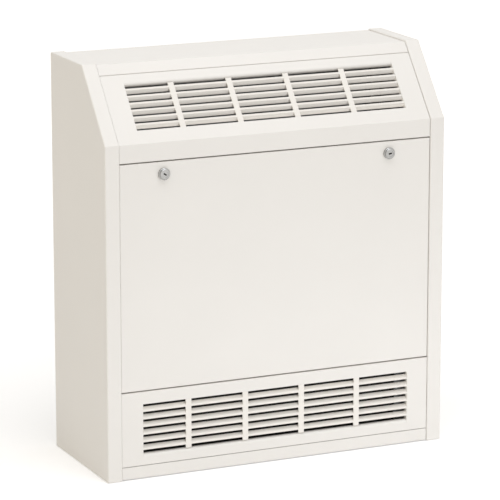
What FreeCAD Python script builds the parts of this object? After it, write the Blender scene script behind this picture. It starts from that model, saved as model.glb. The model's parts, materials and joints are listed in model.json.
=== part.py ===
import FreeCAD, Part
import math
import os
from types import SimpleNamespace

import Sketcher
from FreeCAD import Placement, Rotation, Vector

# Fan convector: a floor-standing steel casing with a sloped discharge grille at the top, an intake grille at
# the foot and a locked drop-down access door between them. A filter, a twin blower and a finned water coil
# stand inside. Millimetres, X to the right seen from the front, Y towards the wall, Z up.
# Places along Y are written from the front edge of the cheeks.

SIZES = {
    # Casing
    "overall_width": 600,
    "overall_height": 665,
    "casing_depth": 233,
    "slope_run": 95,
    "slope_rise": 115,
    "gauge": 1.5,
    "fold_radius": 1.2,
    "cheek_radius": 2.4,
    "cheek_width": 25,
    "cheek_lip": 20,
    "panel_recess": 2.4,
    "side_gap": 0.7,
    "joint_gap": 0.6,
    "door_gap": 2,
    "foot_gap": 1.5,
    "plinth_height": 20.3,
    "intake_height": 122.7,
    "band_height": 29.6,
    "top_strip": 20,
    "flange_depth": 12,
    "rear_flange": 18,
    # Grilles
    "grille_inset": 37.5,
    "grille_clearance": 0.15,
    "grille_wall": 1.5,
    "frame_reach": 1.5,
    "louvre_pitch": 12.7,
    "strip_width": 3.2,
    "strip_setback": 0.2,
    "blade_depth": 5.6,
    "blade_lean": 4.1,
    "blade_thickness": 1.6,
    "gap_count": 7,
    "rail_width": 9.8,
    "rail_depth": 1.5,
    "rail_pitch": 100.6,
    "rail_count": 4,
    "rail_shift": 7.2,
    "intake_margin": 16.3,
    "slope_margin": 24.2,
    "lip_radius": 5.6,
    "lip_depth": 6.2,
    "lip_drop": 3.6,
    # Access door and its pivots
    "door_depth": 18,
    "hinge_rise": 20,
    "hinge_setback": 7,
    "pivot_radius": 3,
    "pivot_reach": 6,
    "pivot_head_radius": 5,
    "pivot_head": 1.5,
    "running": 0.05,
    "fixed_fit": 0.02,
    # Locks
    "lock_inset": 76,
    "lock_drop": 19.3,
    "lock_head_radius": 9.75,
    "lock_step": 4.2,
    "lock_nose_radius": 8.3,
    "lock_proud": 6.5,
    "lock_chamfer": 0.7,
    "barrel_radius": 8,
    "plug_radius": 5.5,
    "plug_recess": 0.6,
    "key_width": 5.8,
    "key_height": 2.4,
    "key_depth": 12,
    "nut_radius": 12,
    "nut_thickness": 3,
    "strike_drop": 12,
    "strike_clearance": 2,
    "cam_clearance": 0.6,
    "cam_length": 26,
    "cam_width": 14,
    "cam_gauge": 2,
    "cam_square": 7,
    "screw_radius": 2,
    "screw_head_radius": 4.5,
    "screw_head": 2.5,
    "screw_depth": 8,
    # Chassis inside the casing
    "end_bay": 85,
    "chassis_front": 62,
    "chassis_flange": 14,
    "deck_height": 360,
    "plenum_height": 120,
    # Blowers and motor
    "scroll_radius": 62,
    "scroll_growth": 10,
    "scroll_wall": 1.2,
    "scroll_rise": 105,
    "scroll_gap": 1,
    "inlet_space": 20,
    "inlet_radius": 41,
    "impeller_gap": 4,
    "blade_inner_radius": 42,
    "blade_curve": 9,
    "blade_sweep": 60,
    "blade_gauge": 1,
    "blade_count": 24,
    "disc_radius": 46,
    "ring_inner_radius": 46,
    "ring_outer_radius": 51,
    "ring_gauge": 2,
    "hub_radius": 11,
    "hub_length": 32,
    "shaft_radius": 4,
    "shaft_overhang": 4,
    "motor_length": 90,
    "motor_radius": 43,
    "motor_bell": 12,
    "motor_boss_radius": 9,
    "motor_boss": 11,
    "mount_ring_radius": 16,
    "mount_ring_width": 6,
    "cradle_width": 62,
    "cradle_gauge": 2,
    "cradle_drop": 24,
    "capacitor_radius": 17,
    "capacitor_length": 70,
    "capacitor_base": 60,
    "capacitor_setback": 190,
    # Heating coil and its pipes
    "coil_rise": 48,
    "row_pitch": 30,
    "tube_pitch": 25,
    "tube_count": 6,
    "tube_radius": 5,
    "fin_pitch": 5,
    "fin_gauge": 0.4,
    "fin_margin": 12,
    "fin_clearance": 0.5,
    "header_radius": 11,
    "header_reach": 24,
    "header_end_gap": 1.75,
    "tube_seat": 4,
    "tail_radius": 9,
    "tail_reach": 32,
    "tail_bend": 20,
    "tail_base": 62,
    "tail_spread": 64,
    "spigot_radius": 7.5,
    "spigot_length": 30,
    "pipe_slot_margin": 16,
    "vent_setback": 8,
    "vent_radius": 6.5,
    "vent_height": 16,
    "vent_screw_radius": 2.5,
    "vent_screw_length": 9,
    "vent_screw_proud": 3,
    "thermostat_width": 26,
    "thermostat_depth": 22,
    "thermostat_height": 54,
    "thermostat_base": 230,
    # Filter
    "filter_front": 34,
    "filter_inset": 32,
    "filter_height": 128,
    "filter_depth": 10,
    "filter_border": 12,
    "media_depth": 6,
    "filter_clearance": 0.5,
    "channel_reach": 10,
    # Controls and supply
    "box_width": 70,
    "box_height": 140,
    "box_depth": 60,
    "box_front": 70,
    "box_base": 190,
    "box_gauge": 1.2,
    "switch_width": 22,
    "switch_height": 32,
    "switch_depth": 14,
    "switch_rim": 3,
    "switch_rim_depth": 2,
    "switch_wall": 2,
    "switch_drop": 34,
    "rocker_clearance": 1.5,
    "rocker_proud": 3,
    "rocker_depth": 6,
    "rocker_pin_radius": 1.5,
    "rocker_pin_setback": 3,
    "terminal_width": 50,
    "terminal_height": 24,
    "terminal_depth": 20,
    "terminal_ways": 4,
    "terminal_well": 3,
    "grommet_bore": 4.5,
    "grommet_radius": 7,
    "grommet_flange_radius": 10,
    "grommet_flange": 2,
    "grommet_inset": 44,
    "grommet_height": 120,
    # Fixings to the wall
    "wall_hole_radius": 4,
    "wall_hole_inset": 44,
    "wall_hole_low": 160,
    "wall_hole_drop": 75,
}

doc = FreeCAD.newDocument("fan_convector")
sheet = doc.addObject("Spreadsheet::Sheet", "Sizes")
for row, (alias, number) in enumerate(SIZES.items(), start=1):
    sheet.set(f"A{row}", alias)
    sheet.set(f"B{row}", str(number))
    sheet.setAlias(f"B{row}", alias)
doc.recompute()


class Size:
    """A size that keeps its number together with the sheet expression that it comes from."""

    def __init__(self, number, text):
        self.number = float(number)
        self.text = text

    def __add__(self, other):
        other = as_size(other)
        return Size(self.number + other.number, f"({self.text} + {other.text})")

    def __radd__(self, other):
        return as_size(other) + self

    def __sub__(self, other):
        other = as_size(other)
        return Size(self.number - other.number, f"({self.text} - {other.text})")

    def __rsub__(self, other):
        return as_size(other) - self

    def __mul__(self, other):
        other = as_size(other)
        return Size(self.number * other.number, f"({self.text} * {other.text})")

    def __rmul__(self, other):
        return as_size(other) * self

    def __truediv__(self, other):
        other = as_size(other)
        return Size(self.number / other.number, f"({self.text} / {other.text})")

    def __neg__(self):
        return Size(-self.number, f"(-{self.text})")


def as_size(value):
    return value if isinstance(value, Size) else Size(value, f"({value})")


def root(size):
    return Size(math.sqrt(size.number), f"sqrt({size.text})")


def whole(size):
    return Size(math.floor(size.number), f"floor({size.text})")


def sine(angle):
    return Size(math.sin(math.radians(angle.number)), f"sin({angle.text})")


def cosine(angle):
    return Size(math.cos(math.radians(angle.number)), f"cos({angle.text})")


s = SimpleNamespace(**{alias: Size(number, f"Sizes.{alias}") for alias, number in SIZES.items()})

# Places that several pieces share
front = -(s.casing_depth - (s.lock_proud - s.panel_recess)) / 2
inner_half = s.overall_width / 2 - s.cheek_width
panel_half = inner_half - s.side_gap
slope_length = root(s.slope_run * s.slope_run + s.slope_rise * s.slope_rise)
slope_tangent = (s.slope_run / slope_length, s.slope_rise / slope_length)
slope_inward = (s.slope_rise / slope_length, -s.slope_run / slope_length)
foot_slip = (slope_length - s.slope_rise) / s.slope_run
top_slip = s.slope_rise / (slope_length + s.slope_run)
slope_angle = "atan2(Sizes.slope_run; Sizes.slope_rise)"

pan_floor = s.foot_gap + s.gauge
plinth_top = s.foot_gap + s.plinth_height
intake_base = plinth_top + s.joint_gap
door_base = intake_base + s.intake_height + s.door_gap
fold_height = s.overall_height - s.slope_rise - s.panel_recess * foot_slip
band_base = fold_height - s.band_height
door_top = band_base - s.door_gap
grille_half = inner_half - s.grille_inset
grille_height = s.gap_count * s.louvre_pitch - s.strip_width
hinge_y = s.panel_recess + s.hinge_setback
hinge_z = door_base + s.hinge_rise
lock_half = inner_half - s.lock_inset
lock_z = door_top - s.lock_drop
strike_depth = s.door_depth + s.strike_clearance + s.gauge
cam_face = strike_depth + s.cam_clearance

back_face = s.casing_depth - s.gauge
chassis_half = inner_half - s.end_bay
deck_top = s.deck_height + s.gauge
plenum_top = deck_top + s.plenum_height
plenum_front = s.chassis_front + s.gauge
plenum_back = back_face - s.gauge
scroll_rear = s.scroll_radius + s.scroll_growth * 2.5
fan_y = plenum_back - s.scroll_gap - scroll_rear
fan_z = s.deck_height - s.scroll_rise
scroll_width = chassis_half - s.motor_length / 2 - s.inlet_space * 2
fan_centre = s.motor_length / 2 + s.inlet_space + scroll_width / 2
impeller_width = scroll_width - (s.scroll_wall + s.impeller_gap) * 2

coil_base = deck_top + s.coil_rise
coil_height = s.row_pitch * 2
coil_middle = (plenum_front + plenum_back) / 2
row_low = coil_base + s.row_pitch / 2
row_high = row_low + s.row_pitch
tube_first = coil_middle - s.tube_pitch * (s.tube_count - 1) / 2
end_plate_x = chassis_half - s.gauge * 2
fin_gaps = whole((end_plate_x - s.fin_margin) * 2 / s.fin_pitch)
fin_half = s.fin_pitch * fin_gaps / 2
header_x = chassis_half + s.header_reach
tail_x = header_x + s.tail_reach

filter_base = pan_floor + s.filter_clearance
filter_half = inner_half - s.filter_inset
box_side = chassis_half + s.gauge
switch_z = s.box_base + s.box_height - s.switch_drop
switch_x = box_side + s.box_width / 2


# Helpers that build features bound to the sheet

PARTS = []


def bind(feature, path, size):
    """Ties one property of a feature to the sheet."""
    feature.setExpression(path, as_size(size).text)


def place(feature, x=0, y=0, z=0):
    """Puts a feature at a point of the casing; y counts from the front edge of the cheeks."""
    bind(feature, "Placement.Base.x", x)
    bind(feature, "Placement.Base.y", front + y)
    bind(feature, "Placement.Base.z", z)


def keep(feature, node):
    """Names a finished sub-part and lists it for writing."""
    feature.Label = node
    PARTS.append(feature)
    return feature


def new_body(name, x=0, y=0, z=0):
    body = doc.addObject("PartDesign::Body", name)
    body.AllowCompound = True
    place(body, x, y, z)
    return body


def origin_feature(body, role):
    return next(feature for feature in body.Origin.OriginFeatures if feature.Role == role)


def new_sketch(body, plane, offset=0):
    """Starts a sketch on one of the body's own planes, moved along that plane's normal."""
    sketch = body.newObject("Sketcher::SketchObject", f"{body.Name}_sketch")
    sketch.AttachmentSupport = [(origin_feature(body, plane), "")]
    sketch.MapMode = "FlatFace"
    bind(sketch, "AttachmentOffset.Base.z", offset)
    return sketch


def pin_down(sketch, geometry, vertex, x, y):
    """Fixes one vertex of the sketch at a place given by the sheet."""
    for kind, size in (("DistanceX", x), ("DistanceY", y)):
        size = as_size(size)
        index = sketch.addConstraint(Sketcher.Constraint(kind, -1, 1, geometry, vertex, size.number))
        bind(sketch, f"Constraints[{index}]", size)


def arc_between(start, end, centre):
    """The anticlockwise arc from start to end round a centre given by the sheet."""
    middle = Vector(*(as_size(size).number for size in centre), 0)
    begin_angle = math.atan2(start.y - middle.y, start.x - middle.x)
    end_angle = math.atan2(end.y - middle.y, end.x - middle.x)
    if end_angle <= begin_angle:
        end_angle += 2 * math.pi
    circle = Part.Circle(middle, Vector(0, 0, 1), middle.distanceToPoint(start))
    return Part.ArcOfCircle(circle, begin_angle, end_angle)


def draw_outline(sketch, corners, arcs=None, hollows=None):
    """Draws a closed outline. Sides in arcs bend anticlockwise round a centre, sides in hollows clockwise."""
    arcs = arcs or {}
    hollows = hollows or {}
    first = sketch.GeometryCount
    points = [Vector(as_size(x).number, as_size(y).number, 0) for x, y in corners]
    for side, start in enumerate(points):
        end = points[(side + 1) % len(points)]
        if side in arcs:
            sketch.addGeometry(arc_between(start, end, arcs[side]), False)
        elif side in hollows:
            sketch.addGeometry(arc_between(end, start, hollows[side]), False)
        else:
            sketch.addGeometry(Part.LineSegment(start, end), False)
    for side in range(len(points)):
        following = (side + 1) % len(points)
        last_vertex = 1 if side in hollows else 2
        next_vertex = 2 if following in hollows else 1
        rule = Sketcher.Constraint("Coincident", first + side, last_vertex, first + following, next_vertex)
        sketch.addConstraint(rule)
    for side, (x, y) in enumerate(corners):
        pin_down(sketch, first + side, 2 if side in hollows else 1, x, y)
    for side, (x, _) in [*arcs.items(), *hollows.items()]:
        centre_x = as_size(x)
        rule = Sketcher.Constraint("DistanceX", -1, 1, first + side, 3, centre_x.number)
        bind(sketch, f"Constraints[{sketch.addConstraint(rule)}]", centre_x)


def draw_rectangle(sketch, left, low, right, high):
    draw_outline(sketch, [(left, low), (right, low), (right, high), (left, high)])


def draw_circle(sketch, x, y, radius):
    radius = as_size(radius)
    centre = Vector(as_size(x).number, as_size(y).number, 0)
    index = sketch.addGeometry(Part.Circle(centre, Vector(0, 0, 1), radius.number), False)
    pin_down(sketch, index, 3, x, y)
    rule = sketch.addConstraint(Sketcher.Constraint("Radius", index, radius.number))
    bind(sketch, f"Constraints[{rule}]", radius)


def pad(body, sketch, length, reverse=False, both_ways=False):
    feature = body.newObject("PartDesign::Pad", f"{body.Name}_pad")
    feature.Profile = sketch
    bind(feature, "Length", length)
    feature.Reversed = reverse
    feature.SideType = "Symmetric" if both_ways else "One side"
    return feature


def pocket(body, sketch, length=None, reverse=False):
    """Cuts to a depth, or right through both ways where no depth is given."""
    doc.recompute()
    before = body.Tip.Shape.Volume
    feature = body.newObject("PartDesign::Pocket", f"{body.Name}_pocket")
    feature.Profile = sketch
    if length is None:
        feature.SideType = "Symmetric"
        feature.Type = "ThroughAll"
    else:
        bind(feature, "Length", length)
        feature.Reversed = reverse
    doc.recompute()
    if feature.Shape.Volume >= before:
        raise RuntimeError(f"{feature.Name} cuts nothing")
    return feature


def revolve(body, sketch, axis, angle=360):
    feature = body.newObject("PartDesign::Revolution", f"{body.Name}_turn")
    feature.Profile = sketch
    feature.ReferenceAxis = axis
    feature.Angle = angle
    return feature


def round_edges(body, radius, chosen):
    """Fillets the edges of the body's last feature that the given test picks."""
    doc.recompute()
    base = body.Tip
    names = [f"Edge{n}" for n, edge in enumerate(base.Shape.Edges, start=1) if chosen(edge)]
    fillet = body.newObject("PartDesign::Fillet", f"{body.Name}_round")
    fillet.Base = (base, names)
    bind(fillet, "Radius", radius)


def pattern_row(body, features, axis, length, count):
    row = body.newObject("PartDesign::LinearPattern", f"{body.Name}_row")
    row.Originals = features
    row.Direction = (origin_feature(body, axis), [""])
    bind(row, "Length", length)
    bind(row, "Occurrences", count)
    body.Tip = row
    return row


def mirror_across(body, features, plane):
    mirrored = body.newObject("PartDesign::Mirrored", f"{body.Name}_mirror")
    mirrored.Originals = features
    mirrored.MirrorPlane = (origin_feature(body, plane), [""])
    body.Tip = mirrored
    return mirrored


def lies_at(value, place_size):
    """True where a measured number is the given size."""
    return abs(value - as_size(place_size).number) < 0.001


def along_x(edge):
    """True for a straight edge that runs along X."""
    return abs(edge.BoundBox.XLength - edge.Length) < 0.001


def slope_point(start, along, inward):
    """A point reached from start by going up the slope and then inward, square to it."""
    y = start[0] + slope_tangent[0] * along + slope_inward[0] * inward
    z = start[1] + slope_tangent[1] * along + slope_inward[1] * inward
    return y, z


def side_corners(inset):
    """The casing's side outline, moved inwards by inset, from its front bottom corner round by the back."""
    foot = s.overall_height - s.slope_rise
    return [
        (inset, inset),
        (s.casing_depth - inset, inset),
        (s.casing_depth - inset, s.overall_height - inset),
        (s.slope_run + inset * top_slip, s.overall_height - inset),
        (inset, foot - inset * foot_slip),
    ]


# Casing

def cheek(node, left):
    """One end of the casing: a folded tray with a lip all round its open inner side."""
    body = new_body(node, x=-s.overall_width / 2 if left else inner_half)
    lip_plane = s.cheek_width if left else as_size(0)
    outline = new_sketch(body, "YZ_Plane")
    draw_outline(outline, side_corners(as_size(0)))
    pad(body, outline, s.cheek_width)
    round_edges(body, s.cheek_radius, lambda edge: True)
    hollow = new_sketch(body, "YZ_Plane", lip_plane)
    draw_outline(hollow, side_corners(s.gauge))
    pocket(body, hollow, s.cheek_width - s.gauge, reverse=not left)
    lip = new_sketch(body, "YZ_Plane", lip_plane)
    draw_outline(lip, side_corners(s.gauge))
    draw_outline(lip, side_corners(s.cheek_lip))
    pad(body, lip, s.gauge, reverse=left)
    pivot_hole = new_sketch(body, "YZ_Plane", lip_plane)
    draw_circle(pivot_hole, hinge_y, hinge_z, s.pivot_radius + s.fixed_fit)
    pocket(body, pivot_hole, s.gauge, reverse=not left)
    return keep(body, node)


def slope_ends():
    """The fold at the slope's foot, the fold at its top, and the two sides of the joint near the top."""
    outline = side_corners(s.panel_recess)
    top_fold, foot_fold = outline[3], outline[4]
    strip_end = slope_point(top_fold, -s.top_strip, 0)
    joint_end = slope_point(strip_end, -s.joint_gap, 0)
    return foot_fold, top_fold, strip_end, joint_end


def top_panel():
    """The flat top, folded down at the wall and a short way down the slope at the front."""
    body = new_body("top_panel")
    _, top_fold, strip_end, _ = slope_ends()
    inner_fold = side_corners(s.panel_recess + s.gauge)[3]
    top = s.overall_height - s.panel_recess
    flange_foot = top - s.rear_flange
    profile = new_sketch(body, "YZ_Plane")
    draw_outline(profile, [
        (s.casing_depth, flange_foot),
        (s.casing_depth, top),
        top_fold,
        strip_end,
        slope_point(strip_end, 0, s.flange_depth),
        slope_point(strip_end, s.gauge, s.flange_depth),
        slope_point(strip_end, s.gauge, s.gauge),
        inner_fold,
        (back_face, top - s.gauge),
        (back_face, flange_foot),
    ])
    pad(body, profile, panel_half * 2, both_ways=True)
    folds = [(s.casing_depth, top), top_fold, strip_end]
    round_edges(body, s.fold_radius, lambda edge: along_x(edge) and is_fold(edge, folds))
    return keep(body, "top_panel")


def is_fold(edge, folds):
    centre = edge.CenterOfMass
    return any(lies_at(centre.y, y) and lies_at(centre.z, z) for y, z in folds)


def discharge_panel():
    """The sloped front with the discharge opening, its upright band and the strike that the locks catch.

    The sheet rolls inwards along the top of the opening.
    """
    body = new_body("discharge_panel")
    foot_fold, _, _, joint_end = slope_ends()
    inner_fold = side_corners(s.panel_recess + s.gauge)[4]
    face = s.panel_recess
    strike_front = face + strike_depth - s.gauge
    strike_back = face + strike_depth
    strike_foot = band_base - s.strike_drop
    profile = new_sketch(body, "YZ_Plane")
    draw_outline(profile, [
        slope_point(joint_end, 0, s.flange_depth),
        joint_end,
        foot_fold,
        (face, band_base),
        (strike_front, band_base),
        (strike_front, strike_foot),
        (strike_back, strike_foot),
        (strike_back, band_base + s.gauge),
        (face + s.gauge, band_base + s.gauge),
        inner_fold,
        slope_point(joint_end, -s.gauge, s.gauge),
        slope_point(joint_end, -s.gauge, s.flange_depth),
    ])
    pad(body, profile, panel_half * 2, both_ways=True)
    folds = [joint_end, foot_fold, (face, band_base)]
    round_edges(body, s.fold_radius, lambda edge: along_x(edge) and is_fold(edge, folds))
    opening = new_sketch(body, "XZ_Plane")
    opening.AttachmentOffset = Placement(Vector(), Rotation(Vector(1, 0, 0), 0))
    opening.setExpression("AttachmentOffset.Rotation.Angle", f"-{slope_angle}")
    bind(opening, "AttachmentOffset.Base.y", foot_fold[1])
    bind(opening, "AttachmentOffset.Base.z", -foot_fold[0])
    top = s.slope_margin + grille_height
    draw_rectangle(opening, -grille_half, s.slope_margin, grille_half, top - s.lip_drop + s.lip_radius)
    pocket(body, opening, s.gauge * 2)
    edge = slope_point(foot_fold, top - s.lip_drop, 0)
    centre = slope_point(edge, s.lip_radius, s.lip_radius)
    lip = new_sketch(body, "YZ_Plane")
    draw_outline(
        lip,
        [
            slope_point(edge, s.lip_radius, 0),
            slope_point(edge, 0, s.lip_radius),
            slope_point(edge, 0, s.lip_depth),
            slope_point(edge, s.gauge, s.lip_depth),
            slope_point(edge, s.gauge, s.lip_radius),
            slope_point(edge, s.lip_radius, s.gauge),
        ],
        arcs={0: centre},
        hollows={4: centre},
    )
    pad(body, lip, (grille_half - s.grille_clearance * 2) * 2, both_ways=True)
    return keep(body, "discharge_panel")


def intake_panel():
    """The lower front panel, folded back along its top and foot and rolled in under the intake opening."""
    body = new_body("intake_panel")
    face = s.panel_recess
    top = intake_base + s.intake_height
    profile = new_sketch(body, "YZ_Plane")
    draw_outline(profile, [
        (face + s.flange_depth, intake_base),
        (face, intake_base),
        (face, top),
        (face + s.flange_depth, top),
        (face + s.flange_depth, top - s.gauge),
        (face + s.gauge, top - s.gauge),
        (face + s.gauge, intake_base + s.gauge),
        (face + s.flange_depth, intake_base + s.gauge),
    ])
    pad(body, profile, panel_half * 2, both_ways=True)
    folds = [(face, intake_base), (face, top)]
    round_edges(body, s.fold_radius, lambda edge: along_x(edge) and is_fold(edge, folds))
    opening = new_sketch(body, "XZ_Plane", -face)
    low = intake_base + s.intake_margin
    edge = low + s.lip_drop
    draw_rectangle(opening, -grille_half, edge - s.lip_radius, grille_half, low + grille_height)
    pocket(body, opening, s.gauge * 2)
    centre = (face + s.lip_radius, edge - s.lip_radius)
    lip = new_sketch(body, "YZ_Plane")
    draw_outline(
        lip,
        [
            (face + s.lip_radius, edge),
            (face, edge - s.lip_radius),
            (face + s.gauge, edge - s.lip_radius),
            (face + s.lip_radius, edge - s.gauge),
            (face + s.lip_depth, edge - s.gauge),
            (face + s.lip_depth, edge),
        ],
        arcs={0: centre},
        hollows={2: centre},
    )
    pad(body, lip, (grille_half - s.grille_clearance * 2) * 2, both_ways=True)
    return keep(body, "intake_panel")


def grille(node, rise):
    """A louvre grille: a frame behind the panel, blades that lean inwards and thin rails flush with them.

    It is drawn flat, with its foot on the X axis and the panel's outer face at zero height. The blades lean
    up where rise is 1 and down where it is -1. At the side that they lean away from, the panel's lip takes
    the place of one blade.
    """
    body = new_body(node)
    half = grille_half - s.grille_clearance
    outside = half + s.grille_wall
    low = s.grille_clearance
    high = grille_height - s.grille_clearance
    frame = new_sketch(body, "XY_Plane", -s.gauge)
    draw_rectangle(frame, -outside, low - s.grille_wall, outside, high + s.grille_wall)
    draw_rectangle(frame, -half, low, half, high)
    pad(body, frame, s.blade_depth + s.frame_reach - s.gauge, reverse=True)
    lip_wall = low - s.grille_wall if rise > 0 else high
    rebate = new_sketch(body, "XY_Plane", -s.gauge)
    draw_rectangle(rebate, -outside, lip_wall, outside, lip_wall + s.grille_wall)
    pocket(body, rebate, s.lip_depth / 2)
    bend = s.louvre_pitch if rise > 0 else s.louvre_pitch - s.strip_width
    strip_end = s.louvre_pitch - s.strip_width if rise > 0 else s.louvre_pitch
    strip_back = -s.strip_setback - s.gauge
    blade = new_sketch(body, "YZ_Plane")
    draw_outline(blade, [
        (strip_end, -s.strip_setback),
        (bend, -s.strip_setback),
        (bend + s.blade_lean * rise, -s.blade_depth),
        (bend + (s.blade_lean - s.blade_thickness) * rise, -s.blade_depth),
        (bend - s.blade_thickness * rise, strip_back),
        (strip_end, strip_back),
    ])
    blade_pad = pad(body, blade, half * 2, both_ways=True)
    blades = s.gap_count - 1
    pattern_row(body, [blade_pad], "Y_Axis", s.louvre_pitch * (blades - 1), blades)
    lip_room = s.lip_drop + s.grille_clearance
    rail_low = lip_room if rise > 0 else low
    rail_high = high if rise > 0 else grille_height - lip_room
    rail = new_sketch(body, "XY_Plane", -s.strip_setback)
    first_rail = -s.rail_pitch * (s.rail_count - 1) / 2 - s.rail_shift
    draw_rectangle(rail, first_rail - s.rail_width / 2, rail_low, first_rail + s.rail_width / 2, rail_high)
    rail_pad = pad(body, rail, s.rail_depth, reverse=True)
    pattern_row(body, [rail_pad], "X_Axis", s.rail_pitch * (s.rail_count - 1), s.rail_count)
    return keep(body, node)


def intake_grille():
    body = grille("intake_grille", rise=1)
    body.Placement = Placement(Vector(), Rotation(Vector(1, 0, 0), 90))
    place(body, 0, s.panel_recess, intake_base + s.intake_margin)


def discharge_grille():
    body = grille("discharge_grille", rise=-1)
    foot_fold = slope_ends()[0]
    start = slope_point(foot_fold, s.slope_margin, 0)
    body.Placement = Placement(Vector(), Rotation(Vector(1, 0, 0), 45))
    body.setExpression("Placement.Rotation.Angle", f"90 deg - {slope_angle}")
    place(body, 0, start[0], start[1])


def base_pan():
    """The floor of the casing: a shallow tray whose front edge is the plinth, open under the pipe tails."""
    body = new_body("base_pan")
    floor = new_sketch(body, "XY_Plane", s.foot_gap)
    draw_rectangle(floor, -panel_half, s.panel_recess, panel_half, s.casing_depth)
    pad(body, floor, s.plinth_height)
    round_edges(body, s.fold_radius, lambda edge: lies_at(edge.CenterOfMass.z, s.foot_gap))
    inside = new_sketch(body, "XY_Plane", plinth_top)
    draw_rectangle(inside, s.gauge - panel_half, s.panel_recess + s.gauge, panel_half - s.gauge, back_face)
    pocket(body, inside, s.plinth_height - s.gauge)
    slot = new_sketch(body, "XY_Plane", pan_floor)
    reach = s.tail_radius + s.pipe_slot_margin
    slot_half = s.tail_spread / 2 + reach
    draw_rectangle(slot, -tail_x - reach, coil_middle - slot_half, reach - tail_x, coil_middle + slot_half)
    pocket(body, slot, s.gauge)
    return keep(body, "base_pan")


def back_panel():
    """The wall side: a sheet flanged down each edge, with holes for the wall screws and the supply."""
    body = new_body("back_panel")
    base = plinth_top + s.joint_gap
    top = s.overall_height - s.panel_recess - s.rear_flange - s.joint_gap
    flange_edge = back_face - s.chassis_flange
    profile = new_sketch(body, "XY_Plane", base)
    draw_outline(profile, [
        (-panel_half, s.casing_depth),
        (-panel_half, flange_edge),
        (s.gauge - panel_half, flange_edge),
        (s.gauge - panel_half, back_face),
        (panel_half - s.gauge, back_face),
        (panel_half - s.gauge, flange_edge),
        (panel_half, flange_edge),
        (panel_half, s.casing_depth),
    ])
    pad(body, profile, top - base)
    holes = new_sketch(body, "XZ_Plane", -back_face)
    hole_x = inner_half - s.wall_hole_inset
    for height in (s.wall_hole_low, s.overall_height - s.wall_hole_drop):
        draw_circle(holes, -hole_x, height, s.wall_hole_radius)
        draw_circle(holes, hole_x, height, s.wall_hole_radius)
    draw_circle(holes, inner_half - s.grommet_inset, s.grommet_height, s.grommet_radius + s.fixed_fit)
    pocket(body, holes, s.gauge)
    return keep(body, "back_panel")


# Access door with its pivots and locks

def access_door():
    """The front door: a tray of sheet, open at the back, bored for two locks and two pivots."""
    body = new_body("access_door")
    face = new_sketch(body, "XZ_Plane", -s.panel_recess)
    draw_rectangle(face, -panel_half, door_base, panel_half, door_top)
    pad(body, face, s.door_depth, reverse=True)
    rear = s.panel_recess + s.door_depth
    round_edges(body, s.fold_radius, lambda edge: not lies_at(edge.CenterOfMass.y, rear))
    hollow = new_sketch(body, "XZ_Plane", -rear)
    edge = panel_half - s.gauge
    draw_rectangle(hollow, -edge, door_base + s.gauge, edge, door_top - s.gauge)
    pocket(body, hollow, s.door_depth - s.gauge, reverse=True)
    lock_holes = new_sketch(body, "XZ_Plane", -s.panel_recess)
    for x in (-lock_half, lock_half):
        draw_circle(lock_holes, x, lock_z, s.barrel_radius + s.running)
    pocket(body, lock_holes, s.gauge)
    pivot_holes = new_sketch(body, "YZ_Plane")
    draw_circle(pivot_holes, hinge_y, hinge_z, s.pivot_radius + s.running)
    pocket(body, pivot_holes)
    return keep(body, "access_door")


def door_pivot_pins():
    """Two headed pins, riveted through the cheeks' lips, that the door turns on."""
    body = new_body("door_pivot_pins", y=hinge_y, z=hinge_z)
    nose = s.pivot_radius / 3
    tip = inner_half - s.pivot_reach
    head = inner_half + s.gauge
    section = new_sketch(body, "XY_Plane")
    draw_outline(section, [
        (tip, 0),
        (head + s.pivot_head, 0),
        (head + s.pivot_head, s.pivot_head_radius),
        (head, s.pivot_head_radius),
        (head, s.pivot_radius),
        (tip + nose, s.pivot_radius),
        (tip, s.pivot_radius - nose),
    ])
    pin = revolve(body, section, (origin_feature(body, "X_Axis"), [""]))
    doc.recompute()
    mirror_across(body, [pin], "YZ_Plane")
    return keep(body, "door_pivot_pins")


def lock_barrel(node, x):
    """A cam lock's body: a stepped head in front of the door and a bored barrel behind it."""
    body = new_body(node, x, s.panel_recess, lock_z)
    bore = s.plug_radius + s.running
    section = new_sketch(body, "XY_Plane")
    draw_outline(section, [
        (bore, -s.lock_proud),
        (s.lock_nose_radius - s.lock_chamfer, -s.lock_proud),
        (s.lock_nose_radius, s.lock_chamfer - s.lock_proud),
        (s.lock_nose_radius, -s.lock_step),
        (s.lock_head_radius - s.lock_chamfer, -s.lock_step),
        (s.lock_head_radius, s.lock_chamfer - s.lock_step),
        (s.lock_head_radius, 0),
        (s.barrel_radius, 0),
        (s.barrel_radius, cam_face - s.cam_clearance),
        (bore, cam_face - s.cam_clearance),
    ])
    revolve(body, section, (origin_feature(body, "Y_Axis"), [""]))
    return keep(body, node)


def lock_nuts():
    """The hexagon nuts that clamp the lock barrels to the door sheet."""
    body = new_body("lock_nuts", -lock_half, s.panel_recess, lock_z)
    section = new_sketch(body, "XZ_Plane", -s.gauge)
    half = s.nut_radius / 2
    flat = s.nut_radius * math.sqrt(3) / 2
    draw_outline(section, [
        (s.nut_radius, 0), (half, flat), (-half, flat), (-s.nut_radius, 0), (-half, -flat), (half, -flat),
    ])
    draw_circle(section, 0, 0, s.barrel_radius + s.fixed_fit)
    nut = pad(body, section, s.nut_thickness, reverse=True)
    pattern_row(body, [nut], "X_Axis", lock_half * 2, 2)
    return keep(body, "lock_nuts")


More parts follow.
